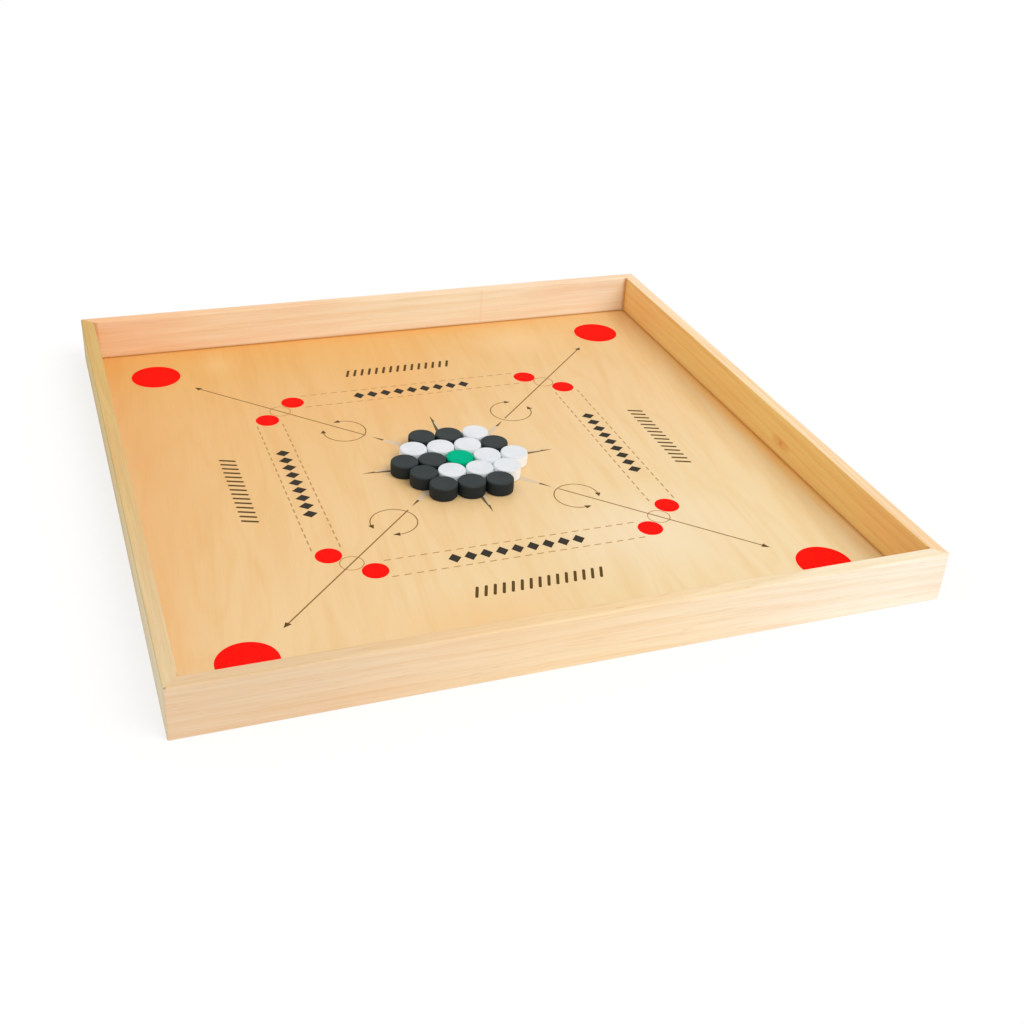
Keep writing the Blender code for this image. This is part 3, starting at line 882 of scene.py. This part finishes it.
steel = makeSteelMaterial(bradSteel)
for name, node in frame["nodes"].items():
    if "brad" in name:
        node.data.materials.clear()
        node.data.materials.append(steel)
print("brads dressed")


# Floor, light and camera

stage = {"floorSize": 8.0, "floorColour": paint(252, 252, 252), "floorGlow": 0.72, "worldStrength": 0.70}
suns = {
    "key": {"from": (0.60, -0.75, 1.15), "strength": 1.35, "angle": 40.0, "colour": (1.0, 0.99, 0.97)},
    "fill": {"from": (-0.95, -0.20, 0.60), "strength": 0.20, "angle": 60.0, "colour": (1.0, 1.0, 1.0)},
}
camera = {
    "place": (-0.347122, -0.985443, 0.588933), "turn": (58.619, -3.245, -20.074), "lens": 46.734,
    "sensorWidth": 36.0, "clip": (0.01, 50.0),
}


def backdropShare(tree):
    # 1 for what the camera, a reflection or a look through glass sees, 0 for what lights the object
    rays = addNode(tree, "ShaderNodeLightPath").outputs
    seen = worked(tree, "MAXIMUM", rays["Is Camera Ray"], rays["Is Glossy Ray"])
    return worked(tree, "MAXIMUM", seen, rays["Is Transmission Ray"])


def makeFloor():
    size = stage["floorSize"] / 2
    mesh = bpy.data.meshes.new("floor")
    corners = [(-size, -size, 0), (size, -size, 0), (size, size, 0), (-size, size, 0)]
    mesh.from_pydata(corners, [], [(0, 1, 2, 3)])
    floor = bpy.data.objects.new("floor", mesh)
    bpy.context.scene.collection.objects.link(floor)
    material = bpy.data.materials.new("paper_floor")
    material.use_nodes = True
    tree = material.node_tree
    tree.nodes.remove(tree.nodes["Principled BSDF"])
    paper = addNode(tree, "ShaderNodeBsdfDiffuse", {"Color": stage["floorColour"]})
    glow = addNode(tree, "ShaderNodeEmission", {"Color": (1.0, 1.0, 1.0, 1.0), "Strength": 1.0})
    share = worked(tree, "MULTIPLY", backdropShare(tree), stage["floorGlow"])
    mixed = addNode(tree, "ShaderNodeMixShader", {0: share, 1: paper.outputs[0], 2: glow.outputs[0]})
    tree.links.new(mixed.outputs[0], tree.nodes["Material Output"].inputs["Surface"])
    mesh.materials.append(material)


def makeLights():
    world = bpy.data.worlds.new("studio")
    bpy.context.scene.world = world
    world.use_nodes = True
    tree = world.node_tree
    ambient = tree.nodes["Background"]
    ambient.inputs["Color"].default_value = (1.0, 1.0, 1.0, 1.0)
    ambient.inputs["Strength"].default_value = stage["worldStrength"]
    white = addNode(tree, "ShaderNodeBackground", {"Color": (1.0, 1.0, 1.0, 1.0), "Strength": 1.0})
    mix = {0: backdropShare(tree), 1: ambient.outputs[0], 2: white.outputs[0]}
    mixed = addNode(tree, "ShaderNodeMixShader", mix)
    tree.links.new(mixed.outputs[0], tree.nodes["World Output"].inputs["Surface"])
    for name, sun in suns.items():
        lamp = bpy.data.lights.new(name + "_light", "SUN")
        lamp.energy = sun["strength"]
        lamp.angle = math.radians(sun["angle"])
        lamp.color = sun["colour"]
        softbox = bpy.data.objects.new(name + "_light", lamp)
        bpy.context.scene.collection.objects.link(softbox)
        x, y, z = sun["from"]
        softbox.rotation_euler = (math.atan2(math.hypot(x, y), z), 0.0, math.atan2(x, -y))


def makeCamera():
    lens = bpy.data.cameras.new("camera")
    lens.lens = camera["lens"]
    lens.sensor_width = camera["sensorWidth"]
    lens.clip_start, lens.clip_end = camera["clip"]
    eye = bpy.data.objects.new("camera", lens)
    bpy.context.scene.collection.objects.link(eye)
    eye.location = camera["place"]
    eye.rotation_euler = [math.radians(angle) for angle in camera["turn"]]
    bpy.context.scene.camera = eye


makeFloor()
makeLights()
makeCamera()
bpy.context.scene.view_settings.view_transform = "Standard"
print("stage set")
